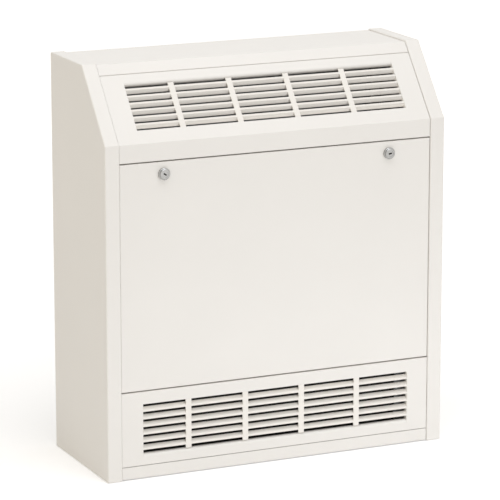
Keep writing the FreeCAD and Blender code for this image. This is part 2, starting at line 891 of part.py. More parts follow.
def lock_plug(node, x, key_tilt):
    """The turning plug of a lock, with a tilted key slot in front and a square for the cam behind."""
    body = new_body(node, x, s.panel_recess, lock_z)
    nose = s.plug_recess - s.lock_proud
    round_part = new_sketch(body, "XZ_Plane", -cam_face)
    draw_circle(round_part, 0, 0, s.plug_radius)
    pad(body, round_part, cam_face - nose)
    square = new_sketch(body, "XZ_Plane", -cam_face)
    side = s.cam_square / 2
    draw_rectangle(square, -side, -side, side, side)
    pad(body, square, s.cam_gauge, reverse=True)
    key_slot = new_sketch(body, "XZ_Plane", -nose)
    along = (math.cos(math.radians(key_tilt)), math.sin(math.radians(key_tilt)))
    draw_outline(key_slot, [
        (
            s.key_width / 2 * right * along[0] - s.key_height / 2 * up * along[1],
            s.key_width / 2 * right * along[1] + s.key_height / 2 * up * along[0],
        )
        for right, up in ((-1, -1), (1, -1), (1, 1), (-1, 1))
    ])
    pocket(body, key_slot, s.key_depth)
    tapping = new_sketch(body, "XZ_Plane", -cam_face - s.cam_gauge)
    draw_circle(tapping, 0, 0, s.screw_radius + s.fixed_fit)
    pocket(body, tapping, s.screw_depth, reverse=True)
    return keep(body, node)


def lock_cam(node, x, turn):
    """A flat cam with round ends and a square hole; it points to the door's middle when unlocked."""
    body = new_body(node)
    body.Placement = Placement(Vector(), Rotation(Vector(0, 1, 0), turn))
    place(body, x, s.panel_recess, lock_z)
    half = s.cam_width / 2
    tip = s.cam_length - half
    side = s.cam_square / 2 + s.fixed_fit
    section = new_sketch(body, "XZ_Plane", -cam_face)
    draw_outline(
        section,
        [(0, -half), (tip, -half), (s.cam_length, 0), (tip, half), (0, half), (-half, 0)],
        arcs={1: (tip, 0), 2: (tip, 0), 4: (0, 0), 5: (0, 0)},
    )
    draw_rectangle(section, -side, -side, side, side)
    pad(body, section, s.cam_gauge, reverse=True)
    return keep(body, node)


def cam_screw(node, x):
    """The screw that holds a cam on its plug."""
    body = new_body(node, x, s.panel_recess + cam_face + s.cam_gauge, lock_z)
    section = new_sketch(body, "XY_Plane")
    draw_outline(section, [
        (0, -s.screw_depth),
        (s.screw_radius, -s.screw_depth),
        (s.screw_radius, 0),
        (s.screw_head_radius, 0),
        (s.screw_head_radius, s.screw_head / 2),
        (s.screw_head_radius / 2, s.screw_head),
        (0, s.screw_head),
    ])
    revolve(body, section, (origin_feature(body, "Y_Axis"), [""]))
    return keep(body, node)


# Chassis

def chassis_plate(node, side):
    """An upright plate at one end of the blowers, flanged outwards at the front and against the wall side."""
    body = new_body(node)
    near = side * chassis_half
    far = side * (chassis_half + s.gauge)
    edge = side * (chassis_half + s.gauge + s.chassis_flange)
    profile = new_sketch(body, "XY_Plane", pan_floor)
    draw_outline(profile, [
        (near, s.chassis_front),
        (edge, s.chassis_front),
        (edge, s.chassis_front + s.gauge),
        (far, s.chassis_front + s.gauge),
        (far, back_face - s.gauge),
        (edge, back_face - s.gauge),
        (edge, back_face),
        (near, back_face),
    ])
    pad(body, profile, s.deck_height - pan_floor)
    return keep(body, node)


def plenum_tray():
    """The fan deck: a channel that carries the coil and leads the air up to it from two blower outlets."""
    body = new_body("plenum_tray")
    profile = new_sketch(body, "YZ_Plane")
    draw_outline(profile, [
        (s.chassis_front, plenum_top),
        (s.chassis_front, s.deck_height),
        (back_face, s.deck_height),
        (back_face, plenum_top),
        (plenum_back, plenum_top),
        (plenum_back, deck_top),
        (plenum_front, deck_top),
        (plenum_front, plenum_top),
    ])
    pad(body, profile, (chassis_half + s.gauge) * 2, both_ways=True)
    outlets = new_sketch(body, "XY_Plane", deck_top)
    half = scroll_width / 2 - s.scroll_wall
    low = fan_y - s.scroll_growth / 2 + s.scroll_wall
    high = fan_y + scroll_rear - s.scroll_wall
    for centre in (-fan_centre, fan_centre):
        draw_rectangle(outlets, centre - half, low, centre + half, high)
    pocket(body, outlets, s.gauge)
    return keep(body, "plenum_tray")


# Blowers and motor

def blower_scroll(node, x):
    """A blower housing: a shell whose radius grows by steps round the wheel, open at its top outlet."""
    body = new_body(node, x, fan_y, fan_z)
    step = s.scroll_growth
    half = step / 2
    radius = s.scroll_radius
    outline = new_sketch(body, "YZ_Plane")
    draw_outline(
        outline,
        [
            (-half, s.scroll_rise),
            (-half, radius - half),
            (-half - radius, -half),
            (half, -half - radius - step),
            (scroll_rear, half),
            (scroll_rear, s.scroll_rise),
        ],
        arcs={1: (-half, -half), 2: (half, -half), 3: (half, half)},
    )
    pad(body, outline, scroll_width, both_ways=True)
    doc.recompute()
    base = body.Tip
    outlet = next(
        f"Face{n}" for n, face in enumerate(base.Shape.Faces, start=1)
        if lies_at(face.CenterOfMass.z, s.scroll_rise)
    )
    shell = body.newObject("PartDesign::Thickness", f"{node}_shell")
    shell.Base = (base, [outlet])
    shell.Join = "Intersection"
    shell.Reversed = True
    bind(shell, "Value", s.scroll_wall)
    inlets = new_sketch(body, "YZ_Plane")
    draw_circle(inlets, 0, 0, s.inlet_radius)
    pocket(body, inlets)
    return keep(body, node)


def impeller(node, x):
    """A blower wheel: forward-curved blades round a middle disc, tied by a ring at each end."""
    body = new_body(node, x, fan_y, fan_z)
    disc = new_sketch(body, "YZ_Plane")
    draw_circle(disc, 0, 0, s.disc_radius)
    pad(body, disc, s.ring_gauge, both_ways=True)
    hub = new_sketch(body, "YZ_Plane")
    draw_circle(hub, 0, 0, s.hub_radius)
    pad(body, hub, s.hub_length, both_ways=True)
    for end in (s.ring_gauge - impeller_width / 2, impeller_width / 2):
        ring = new_sketch(body, "YZ_Plane", end)
        draw_circle(ring, 0, 0, s.ring_outer_radius)
        draw_circle(ring, 0, 0, s.ring_inner_radius)
        pad(body, ring, s.ring_gauge, reverse=True)
    blade_section = new_sketch(body, "YZ_Plane")
    heel = s.blade_inner_radius
    centre = (heel, s.blade_curve)
    back = s.blade_curve + s.blade_gauge / 2
    hollow = s.blade_curve - s.blade_gauge / 2
    lean, drop = sine(s.blade_sweep), cosine(s.blade_sweep)
    draw_outline(
        blade_section,
        [
            (heel, s.blade_curve - back),
            (heel + back * lean, s.blade_curve - back * drop),
            (heel + hollow * lean, s.blade_curve - hollow * drop),
            (heel, s.blade_curve - hollow),
        ],
        arcs={0: centre},
        hollows={2: centre},
    )
    blade = pad(body, blade_section, impeller_width, both_ways=True)
    doc.recompute()
    wheel = body.newObject("PartDesign::PolarPattern", f"{node}_blades")
    wheel.Originals = [blade]
    wheel.Axis = (origin_feature(body, "X_Axis"), [""])
    wheel.Angle = 360
    bind(wheel, "Occurrences", s.blade_count)
    body.Tip = wheel
    bore = new_sketch(body, "YZ_Plane")
    draw_circle(bore, 0, 0, s.shaft_radius + s.fixed_fit)
    pocket(body, bore)
    return keep(body, node)


def fan_shaft():
    """The double-ended motor shaft that both wheels sit on."""
    half = fan_centre + s.hub_length / 2 + s.shaft_overhang
    shaft = doc.addObject("Part::Cylinder", "fan_shaft")
    shaft.Placement = Placement(Vector(), Rotation(Vector(0, 1, 0), 90))
    bind(shaft, "Radius", s.shaft_radius)
    bind(shaft, "Height", half * 2)
    place(shaft, -half, fan_y, fan_z)
    return keep(shaft, "fan_shaft")


def motor():
    """The motor: a drum with tapered end bells and a boss at each end, bored for the shaft."""
    body = new_body("motor", 0, fan_y, fan_z)
    end = s.motor_length / 2
    shoulder = end - s.motor_boss
    rim = shoulder - s.motor_bell
    bore = s.shaft_radius + s.running
    bell = s.motor_radius - s.motor_bell
    section = new_sketch(body, "XY_Plane")
    draw_outline(section, [
        (-end, bore),
        (end, bore),
        (end, s.motor_boss_radius),
        (shoulder, s.motor_boss_radius),
        (shoulder, bell),
        (rim, s.motor_radius),
        (-rim, s.motor_radius),
        (-shoulder, bell),
        (-shoulder, s.motor_boss_radius),
        (-end, s.motor_boss_radius),
    ])
    revolve(body, section, (origin_feature(body, "X_Axis"), [""]))
    return keep(body, "motor")


def arm_place():
    """The middle of a cradle arm along X, halfway along the motor's boss."""
    return s.motor_length / 2 - s.motor_boss / 2


def motor_rings():
    """The rubber rings between the motor's bosses and the cradle."""
    body = new_body("motor_rings", 0, fan_y, fan_z)
    section = new_sketch(body, "YZ_Plane", arm_place() - s.mount_ring_width / 2)
    draw_circle(section, 0, 0, s.mount_ring_radius)
    draw_circle(section, 0, 0, s.motor_boss_radius + s.fixed_fit)
    ring = pad(body, section, s.mount_ring_width)
    mirror_across(body, [ring], "YZ_Plane")
    return keep(body, "motor_rings")


def motor_cradle():
    """The bracket under the fan deck whose two arms hold the motor by its rubber rings."""
    body = new_body("motor_cradle", 0, fan_y, 0)
    outer = arm_place() + s.cradle_gauge / 2
    inner = outer - s.cradle_gauge
    arm_foot = fan_z - s.cradle_drop
    profile = new_sketch(body, "XZ_Plane")
    draw_outline(profile, [
        (-outer, arm_foot),
        (-inner, arm_foot),
        (-inner, s.deck_height - s.cradle_gauge),
        (inner, s.deck_height - s.cradle_gauge),
        (inner, arm_foot),
        (outer, arm_foot),
        (outer, s.deck_height),
        (-outer, s.deck_height),
    ])
    pad(body, profile, s.cradle_width, both_ways=True)
    ring_holes = new_sketch(body, "YZ_Plane")
    draw_circle(ring_holes, 0, fan_z, s.mount_ring_radius + s.fixed_fit)
    pocket(body, ring_holes)
    return keep(body, "motor_cradle")


def run_capacitor():
    """The motor's run capacitor, upright against the right chassis plate."""
    x = chassis_half + s.gauge + s.capacitor_radius
    body = new_body("run_capacitor", x, s.capacitor_setback, pan_floor)
    top = s.capacitor_base + s.capacitor_length
    section = new_sketch(body, "XZ_Plane")
    draw_outline(section, [
        (0, s.capacitor_base - s.screw_depth),
        (s.screw_radius, s.capacitor_base - s.screw_depth),
        (s.screw_radius, s.capacitor_base),
        (s.capacitor_radius, s.capacitor_base),
        (s.capacitor_radius, top - s.fold_radius),
        (s.capacitor_radius - s.fold_radius, top),
        (0, top),
    ])
    revolve(body, section, (origin_feature(body, "Z_Axis"), [""]))
    return keep(body, "run_capacitor")


# Heating coil and its pipes

def coil_fins():
    """The pack of thin fins that the tubes are expanded into."""
    body = new_body("coil_fins")
    outline = new_sketch(body, "YZ_Plane", -fin_half - s.fin_gauge / 2)
    draw_rectangle(
        outline,
        plenum_front + s.fin_clearance, coil_base,
        plenum_back - s.fin_clearance, coil_base + coil_height,
    )
    fin = pad(body, outline, s.fin_gauge)
    pattern_row(body, [fin], "X_Axis", fin_half * 2, fin_gaps + 1)
    return keep(body, "coil_fins")


def coil_tubes():
    """The hairpin tubes: two straight legs and a half-round bend each, side by side across the coil."""
    body = new_body("coil_tubes")
    left = s.header_radius - s.tube_seat - header_x
    right = chassis_half
    legs = new_sketch(body, "YZ_Plane", left)
    draw_circle(legs, tube_first, row_low, s.tube_radius)
    draw_circle(legs, tube_first, row_high, s.tube_radius)
    leg_pad = pad(body, legs, right - left)
    bend_section = new_sketch(body, "YZ_Plane", right)
    draw_circle(bend_section, tube_first, row_low, s.tube_radius)
    middle = row_low + s.row_pitch / 2
    axis = bend_section.addGeometry(
        Part.LineSegment(Vector(0, middle.number, 0), Vector(tube_first.number, middle.number, 0)), True)
    pin_down(bend_section, axis, 1, 0, middle)
    pin_down(bend_section, axis, 2, tube_first, middle)
    doc.recompute()
    bend = revolve(body, bend_section, (bend_section, ["Axis0"]), 180)
    doc.recompute()
    if bend.Shape.BoundBox.XMax < right.number + s.tube_radius.number:
        bend.Reversed = True
        doc.recompute()
    pattern_row(body, [leg_pad, bend], "Y_Axis", s.tube_pitch * (s.tube_count - 1), s.tube_count)
    return keep(body, "coil_tubes")


def coil_end_plates():
    """The two plates that carry the coil, standing on the fan deck, pierced for the tubes."""
    body = new_body("coil_end_plates")
    outline = new_sketch(body, "YZ_Plane", end_plate_x)
    draw_rectangle(
        outline,
        plenum_front + s.fixed_fit, deck_top,
        plenum_back - s.fixed_fit, plenum_top,
    )
    for number in range(int(s.tube_count.number)):
        across = tube_first + s.tube_pitch * number
        for height in (row_low, row_high):
            draw_circle(outline, across, height, s.tube_radius + s.fixed_fit)
    plate = pad(body, outline, s.gauge)
    mirror_across(body, [plate], "YZ_Plane")
    return keep(body, "coil_end_plates")


def header(node, height, tail_y):
    """A header pipe across the tube ends, with a tail that turns down to the pipe connection."""
    body = new_body(node, -header_x, 0, 0)
    start = plenum_front + s.header_end_gap
    length = plenum_back - s.header_end_gap - start
    barrel = new_sketch(body, "XZ_Plane", -start)
    draw_circle(barrel, 0, height, s.header_radius)
    pad(body, barrel, length, reverse=True)
    sockets = new_sketch(body, "YZ_Plane", s.header_radius - s.tube_seat)
    for number in range(int(s.tube_count.number)):
        draw_circle(sockets, tube_first + s.tube_pitch * number, height, s.tube_radius + s.fixed_fit)
    pocket(body, sockets, s.tube_seat * 2, reverse=True)
    stub_end = s.tail_reach - s.tail_bend
    stub = new_sketch(body, "YZ_Plane", -stub_end)
    draw_circle(stub, tail_y, height, s.tail_radius)
    pad(body, stub, stub_end)
    elbow = new_sketch(body, "YZ_Plane", -stub_end)
    draw_circle(elbow, tail_y, height, s.tail_radius)
    centre = height - s.tail_bend
    axis = elbow.addGeometry(
        Part.LineSegment(Vector(0, centre.number, 0), Vector(tail_y.number, centre.number, 0)), True)
    pin_down(elbow, axis, 1, 0, centre)
    pin_down(elbow, axis, 2, tail_y, centre)
    doc.recompute()
    bend = revolve(body, elbow, (elbow, ["Axis0"]), 90)
    doc.recompute()
    if bend.Shape.BoundBox.XMin > -s.tail_reach.number:
        bend.Reversed = True
        doc.recompute()
    drop = new_sketch(body, "XY_Plane", s.tail_base + s.spigot_length)
    draw_circle(drop, -s.tail_reach, tail_y, s.tail_radius)
    pad(body, drop, centre - s.tail_base - s.spigot_length)
    spigot = new_sketch(body, "XY_Plane", s.tail_base)
    draw_circle(spigot, -s.tail_reach, tail_y, s.spigot_radius)
    pad(body, spigot, s.spigot_length)
    return keep(body, node)


def vent_y():
    """The air vent stands on the upper header, a short way in from its front end."""
    return plenum_front + s.header_end_gap + s.vent_setback


def air_vent():
    """The air vent's body, saddled on the upper header."""
    post = doc.addObject("Part::Cylinder", "air_vent_post")
    bind(post, "Radius", s.vent_radius)
    bind(post, "Height", s.header_radius + s.vent_height)
    place(post, -header_x, vent_y(), row_high)
    saddle = doc.addObject("Part::Cylinder", "air_vent_saddle")
    saddle.Placement = Placement(Vector(), Rotation(Vector(1, 0, 0), -90))
    bind(saddle, "Radius", s.header_radius)
    bind(saddle, "Height", s.vent_radius * 4)
    place(saddle, -header_x, vent_y() - s.vent_radius * 2, row_high)
    bore = doc.addObject("Part::Cylinder", "air_vent_bore")
    bore.Placement = Placement(Vector(), Rotation(Vector(1, 0, 0), -90))
    bind(bore, "Radius", s.vent_screw_radius + s.running)
    bind(bore, "Height", s.vent_screw_length)
    place(bore, -header_x, vent_y() - s.vent_radius, vent_screw_z())
    tools = doc.addObject("Part::Compound", "air_vent_tools")
    tools.Links = [saddle, bore]
    body = doc.addObject("Part::Cut", "air_vent")
    body.Base = post
    body.Tool = tools
    return keep(body, "air_vent")


def vent_screw_z():
    return row_high + s.header_radius + s.vent_height / 2


def vent_screw():
    """The bleed screw in the front of the air vent, with a driver slot."""
    start = vent_y() - s.vent_radius - s.vent_screw_proud
    body = new_body("vent_screw", -header_x, start, vent_screw_z())
    shank = new_sketch(body, "XZ_Plane")
    draw_circle(shank, 0, 0, s.vent_screw_radius)
    pad(body, shank, s.vent_screw_length + s.vent_screw_proud - s.filter_clearance, reverse=True)
    slot = new_sketch(body, "XZ_Plane")
    half = s.vent_screw_radius * 2
    width = s.vent_screw_radius / 5
    draw_rectangle(slot, -half, -width, half, width)
    pocket(body, slot, s.vent_screw_proud / 3)
    return keep(body, "vent_screw")


def limit_thermostat():
    """The strap-on thermostat that holds the fan off until the flow pipe is warm."""
    pipe_y = coil_middle - s.tail_spread / 2
    block = doc.addObject("Part::Box", "thermostat_block")
    bind(block, "Length", s.thermostat_width)
    bind(block, "Width", s.thermostat_depth)
    bind(block, "Height", s.thermostat_height)
    place(block, -tail_x - s.thermostat_width / 2, pipe_y - s.thermostat_depth, s.thermostat_base)
    pipe = doc.addObject("Part::Cylinder", "thermostat_saddle")
    bind(pipe, "Radius", s.tail_radius + s.fixed_fit)
    bind(pipe, "Height", s.thermostat_height * 2)
    place(pipe, -tail_x, pipe_y, s.thermostat_base - s.thermostat_height / 2)
    body = doc.addObject("Part::Cut", "limit_thermostat")
    body.Base = block
    body.Tool = pipe
    return keep(body, "limit_thermostat")


# Filter

def filter_frame():
    """The filter's border, which slides up out of its channels behind the open door."""
    body = new_body("filter_frame")
    section = new_sketch(body, "XZ_Plane", -s.filter_front)
    half = filter_half
    top = filter_base + s.filter_height
    draw_rectangle(section, -half, filter_base, half, top)
    draw_rectangle(
        section,
        s.filter_border - half, filter_base + s.filter_border,
        half - s.filter_border, top - s.filter_border,
    )
    pad(body, section, s.filter_depth, reverse=True)
    return keep(body, "filter_frame")


def filter_media():
    """The filter mat, held in the frame's window."""
    half = filter_half - s.filter_border
    media = doc.addObject("Part::Box", "filter_media")
    bind(media, "Length", half * 2)
    bind(media, "Width", s.media_depth)
    bind(media, "Height", s.filter_height - s.filter_border * 2)
    gap = (s.filter_depth - s.media_depth) / 2
    place(media, -half, s.filter_front + gap, filter_base + s.filter_border)
    return keep(media, "filter_media")


def filter_channels():
    """The two upright channels, standing on the base pan, that the filter slides in."""
    body = new_body("filter_channels")
    wall = filter_half + s.filter_clearance
    outside = wall + s.gauge
    lip = wall - s.channel_reach
    near = s.filter_front - s.filter_clearance
    far = s.filter_front + s.filter_depth + s.filter_clearance
    section = new_sketch(body, "XY_Plane", pan_floor)
    draw_outline(section, [
        (lip, near - s.gauge),
        (outside, near - s.gauge),
        (outside, far + s.gauge),
        (lip, far + s.gauge),
        (lip, far),
        (wall, far),
        (wall, near),
        (lip, near),
    ])
    channel = pad(body, section, s.filter_height)
    mirror_across(body, [channel], "YZ_Plane")
    return keep(body, "filter_channels")


# Controls and supply

def control_box():
    """The wiring box on the right chassis plate, open towards the door."""
    body = new_body("control_box", box_side, s.box_front, s.box_base)
    outline = new_sketch(body, "XZ_Plane")
    draw_rectangle(outline, 0, 0, s.box_width, s.box_height)
    pad(body, outline, s.box_depth, reverse=True)
    inside = new_sketch(body, "XZ_Plane")
    wall = s.box_gauge
    draw_rectangle(inside, wall, wall, s.box_width - wall, s.box_height - wall)
    pocket(body, inside, s.box_depth - wall)
    return keep(body, "control_box")


def control_cover():
    """The lid of the wiring box, cut out for the speed switch."""
    body = new_body("control_cover", box_side, s.box_front - s.box_gauge, s.box_base)
    outline = new_sketch(body, "XZ_Plane")
    draw_rectangle(outline, 0, 0, s.box_width, s.box_height)
    pad(body, outline, s.box_gauge, reverse=True)
    opening = new_sketch(body, "XZ_Plane")
    half_width = s.switch_width / 2 + s.fixed_fit
    half_height = s.switch_height / 2 + s.fixed_fit
    middle = s.box_width / 2
    centre = s.box_height - s.switch_drop
    draw_rectangle(
        opening,
        middle - half_width, centre - half_height,
        middle + half_width, centre + half_height,
    )
    pocket(body, opening, s.box_gauge)
    return keep(body, "control_cover")


def switch_housing():
    """The speed switch's body: a rim on the lid and a hollow box through it."""
    body = new_body("switch_housing", switch_x, s.box_front - s.box_gauge, switch_z)
    half_width = s.switch_width / 2
    half_height = s.switch_height / 2
    rim = new_sketch(body, "XZ_Plane")
    draw_rectangle(
        rim,
        -half_width - s.switch_rim, -half_height - s.switch_rim,
        half_width + s.switch_rim, half_height + s.switch_rim,
    )
    pad(body, rim, s.switch_rim_depth)
    well = new_sketch(body, "XZ_Plane")
    draw_rectangle(well, -half_width, -half_height, half_width, half_height)
    pad(body, well, s.switch_depth, reverse=True)
    hollow = new_sketch(body, "XZ_Plane", s.switch_rim_depth)
    draw_rectangle(
        hollow,
        s.switch_wall - half_width, s.switch_wall - half_height,
        half_width - s.switch_wall, half_height - s.switch_wall,
    )
    pocket(body, hollow, s.switch_rim_depth + s.switch_depth - s.switch_wall)
    pin_holes = new_sketch(body, "YZ_Plane")
    draw_circle(pin_holes, s.rocker_pin_setback, 0, s.rocker_pin_radius + s.running)
    pocket(body, pin_holes)
    return keep(body, "switch_housing")


def speed_rocker():
    """The rocker of the speed switch, dished in front and tapered behind, tipping on its two side pins."""
    body = new_body("speed_rocker", switch_x, s.box_front - s.box_gauge, switch_z)
    half_height = s.switch_height / 2 - s.switch_wall - s.rocker_clearance
    half_width = s.switch_width / 2 - s.switch_wall - s.rocker_clearance
    brow = -s.switch_rim_depth - s.rocker_proud
    section = new_sketch(body, "YZ_Plane")
    draw_outline(section, [
        (brow, -half_height),
        (s.rocker_depth, -half_height / 2),
        (s.rocker_depth, half_height / 2),
        (brow, half_height),
        (brow + s.rocker_proud / 2, 0),
    ])
    pad(body, section, half_width * 2, both_ways=True)
    pins = new_sketch(body, "YZ_Plane")
    draw_circle(pins, s.rocker_pin_setback, 0, s.rocker_pin_radius)
    pad(body, pins, s.switch_width - s.switch_wall, both_ways=True)
    return keep(body, "speed_rocker")


def terminal_block():
    """The supply terminals on the back wall of the wiring box."""
    rear = s.box_front + s.box_depth - s.box_gauge
    body = new_body("terminal_block", switch_x, rear, s.box_base + s.box_height / 4)
    half = s.terminal_width / 2
    outline = new_sketch(body, "XZ_Plane")
    draw_rectangle(outline, -half, -s.terminal_height / 2, half, s.terminal_height / 2)
    pad(body, outline, s.terminal_depth)
    pitch = s.terminal_width / s.terminal_ways
    wells = new_sketch(body, "XZ_Plane", s.terminal_depth)
    for way in range(int(s.terminal_ways.number)):
        draw_circle(wells, pitch * (way + 0.5) - half, 0, s.terminal_well)
    pocket(body, wells, s.terminal_depth / 2)
    return keep(body, "terminal_block")


def cable_grommet():
    """The rubber bush in the back panel where a supply cable would enter, flush with the wall side."""
    body = new_body("cable_grommet", inner_half - s.grommet_inset, s.casing_depth, s.grommet_height)
    shoulder = -s.gauge
    section = new_sketch(body, "XY_Plane")
    draw_outline(section, [
        (s.grommet_bore, 0),
        (s.grommet_radius, 0),
        (s.grommet_radius, shoulder),
        (s.grommet_flange_radius, shoulder),
        (s.grommet_flange_radius, shoulder - s.grommet_flange),
        (s.grommet_bore, shoulder - s.grommet_flange),
    ])
    revolve(body, section, (origin_feature(body, "Y_Axis"), [""]))
    return keep(body, "cable_grommet")


def build():
    cheek("left_cheek", left=True)
    cheek("right_cheek", left=False)
    top_panel()
    discharge_panel()
    discharge_grille()
    intake_panel()
    intake_grille()
    base_pan()
    back_panel()
    access_door()
    door_pivot_pins()
    for side, x, cam_turn, key_tilt in (("left", -lock_half, 0, -35), ("right", lock_half, 180, 10)):
        lock_barrel(f"{side}_lock_barrel", x)
        lock_plug(f"{side}_lock_plug", x, key_tilt)
        lock_cam(f"{side}_lock_cam", x, cam_turn)
        cam_screw(f"{side}_cam_screw", x)
    lock_nuts()
    chassis_plate("left_chassis_plate", -1)
    chassis_plate("right_chassis_plate", 1)
    plenum_tray()
    for side, x in (("left", -fan_centre), ("right", fan_centre)):
        blower_scroll(f"{side}_scroll", x)
        impeller(f"{side}_impeller", x)
    fan_shaft()
    motor()
    motor_rings()
    motor_cradle()
    run_capacitor()
    coil_fins()
    coil_tubes()
    coil_end_plates()
    header("flow_header", row_low, coil_middle - s.tail_spread / 2)
    header("return_header", row_high, coil_middle + s.tail_spread / 2)
    air_vent()
    vent_screw()
    limit_thermostat()
    filter_frame()
    filter_media()
    filter_channels()
    control_box()
    control_cover()
    switch_housing()
    speed_rocker()
    terminal_block()
    cable_grommet()


def write_parts():
    """Checks every object and every sub-part, then writes one file for each sub-part."""
    doc.recompute()
    failed = [item.Name for item in doc.Objects if {"Invalid", "Error"} & set(item.State)]
    failed += [part.Label for part in PARTS if part.Shape.isNull() or not part.Shape.isValid()]
    if failed:
        raise RuntimeError(f"failed: {', '.join(failed)}")
    os.makedirs("parts", exist_ok=True)
    for part in PARTS:
        part.Shape.exportStep(f"parts/{part.Label}.step")
    print(len(PARTS), "sub-parts written")


build()
write_parts()
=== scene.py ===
# %% [markdown]
# # A fan convector in a plain studio
# The heater is a white steel casing with a sloped louvre grille at the top, another at the foot and a
# locked door between them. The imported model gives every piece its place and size. This lesson gives the
# pieces their finishes, models the soft filter mat and the small screws, sets up soft light and stands the
# camera where the photographer stood.

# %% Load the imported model
import json
import math

import bmesh
import bpy
from mathutils import Matrix, Vector, noise


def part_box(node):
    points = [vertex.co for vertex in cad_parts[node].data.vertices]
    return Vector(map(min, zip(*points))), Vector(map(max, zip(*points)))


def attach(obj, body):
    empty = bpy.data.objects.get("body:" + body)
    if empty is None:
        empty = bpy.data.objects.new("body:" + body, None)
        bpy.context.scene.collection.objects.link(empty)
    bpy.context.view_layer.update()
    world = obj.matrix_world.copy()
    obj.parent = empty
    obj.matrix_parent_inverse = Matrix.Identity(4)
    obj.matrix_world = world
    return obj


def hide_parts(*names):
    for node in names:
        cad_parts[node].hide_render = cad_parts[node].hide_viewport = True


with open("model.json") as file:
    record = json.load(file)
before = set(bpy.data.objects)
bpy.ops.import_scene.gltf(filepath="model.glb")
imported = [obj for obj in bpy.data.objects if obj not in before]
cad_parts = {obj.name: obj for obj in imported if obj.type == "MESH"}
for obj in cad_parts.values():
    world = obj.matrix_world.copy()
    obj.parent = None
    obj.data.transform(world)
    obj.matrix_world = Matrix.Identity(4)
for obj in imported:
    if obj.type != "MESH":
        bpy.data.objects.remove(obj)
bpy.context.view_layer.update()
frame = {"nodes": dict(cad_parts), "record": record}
nodes = frame["nodes"]

# %% [markdown]
# ## Helpers for finishes
# Every finish here is one Principled shader with small procedural variations. The patterns read Object
# coordinates, so they stay on the pieces when a door opens or a wheel turns. Most of a noise lies in the
# middle of its range, so colour and gloss are spread over that middle alone.

# %% Start a finish
PATTERN_LOW = 0.3
PATTERN_HIGH = 0.7
finishes = {}


def new_finish(name, colour, roughness, metallic=0.0):
    """A Principled material, kept by its name, whose plain values are set straight on the sockets."""
    material = bpy.data.materials.new(name)
    material.use_nodes = True
    shader = material.node_tree.nodes["Principled BSDF"]
    shader.inputs["Base Color"].default_value = (*colour, 1.0)
    shader.inputs["Roughness"].default_value = roughness
    shader.inputs["Metallic"].default_value = metallic
    finishes[name] = material
    return material, shader


def pattern(material, kind, scale, stretch=(1.0, 1.0, 1.0), detail=2.0):
    """A noise or cell texture on Object coordinates, with its scale given per metre."""
    tree = material.node_tree
    place = tree.nodes.new("ShaderNodeTexCoord")
    mapping = tree.nodes.new("ShaderNodeMapping")
    mapping.inputs["Scale"].default_value = stretch
    texture = tree.nodes.new(kind)
    texture.inputs["Scale"].default_value = scale
    if "Detail" in texture.inputs:
        texture.inputs["Detail"].default_value = detail
    tree.links.new(place.outputs["Object"], mapping.inputs["Vector"])
    tree.links.new(mapping.outputs["Vector"], texture.inputs["Vector"])
    return texture


print("patterns are spread from", PATTERN_LOW, "to", PATTERN_HIGH)


# %% Turn a pattern into colour, roughness or relief
def shade(colour, share):
    """A darker or lighter tone of a colour."""
    return tuple(share * part for part in colour)


def tone_of(texture):
    """The output to read: a cell texture gives each cell a tone of its own."""
    return texture.outputs["Fac"] if "Fac" in texture.outputs else texture.outputs["Color"]


def vary_colour(material, shader, texture, low, high):
    """Blends the base colour between two close tones along a pattern."""
    tree = material.node_tree
    ramp = tree.nodes.new("ShaderNodeValToRGB")
    first, last = ramp.color_ramp.elements
    first.position = PATTERN_LOW
    first.color = (*low, 1.0)
    last.position = PATTERN_HIGH
    last.color = (*high, 1.0)
    tree.links.new(tone_of(texture), ramp.inputs["Fac"])
    tree.links.new(ramp.outputs["Color"], shader.inputs["Base Color"])


def vary_roughness(material, shader, texture, low, high):
    """Lets the gloss drift between two values along a pattern."""
    tree = material.node_tree
    spread = tree.nodes.new("ShaderNodeMapRange")
    spread.inputs["From Min"].default_value = PATTERN_LOW
    spread.inputs["From Max"].default_value = PATTERN_HIGH
    spread.inputs["To Min"].default_value = low
    spread.inputs["To Max"].default_value = high
    tree.links.new(tone_of(texture), spread.inputs["Value"])
    tree.links.new(spread.outputs["Result"], shader.inputs["Roughness"])


def add_relief(material, shader, texture, height, strength):
    """Raises the surface a little along a pattern; height is in metres."""
    tree = material.node_tree
    bump = tree.nodes.new("ShaderNodeBump")
    bump.inputs["Strength"].default_value = strength
    bump.inputs["Distance"].default_value = height
    tree.links.new(tone_of(texture), bump.inputs["Height"])
    tree.links.new(bump.outputs["Normal"], shader.inputs["Normal"])


# %% [markdown]
# ## Powder coat
# Baked powder coat on sheet steel is satin and a little uneven, like the peel of an orange. The peel is a
# few hundredths of a millimetre high, so relief is enough and no mesh is needed.

# %% Powder coat
COAT = (0.835, 0.81, 0.77)
COAT_GLOSS = 0.4
GRILLE_COAT = (0.875, 0.84, 0.785)
GRILLE_GLOSS = 0.15
COAT_ROUGHNESS = 0.42
CLOUD_SCALE = 9.0
CLOUD_TONE = 0.985
PEEL_SCALE = 700.0
PEEL_HEIGHT = 0.00006


def powder_coat(name, colour, gloss):
    """A satin coat with faint clouds and a fine peel; gloss is the strength of its mirror reflection."""
    material, shader = new_finish(name, colour, COAT_ROUGHNESS)
    shader.inputs["Specular IOR Level"].default_value = gloss
    cloud = pattern(material, "ShaderNodeTexNoise", CLOUD_SCALE)
    vary_colour(material, shader, cloud, shade(colour, CLOUD_TONE), colour)
    peel = pattern(material, "ShaderNodeTexNoise", PEEL_SCALE, detail=1.0)
    vary_roughness(material, shader, peel, low=0.38, high=0.48)
    add_relief(material, shader, peel, PEEL_HEIGHT, strength=0.5)
    return material


powder_coat("white_coat", COAT, COAT_GLOSS)
powder_coat("grille_coat", GRILLE_COAT, GRILLE_GLOSS)
print("coats:", list(finishes))

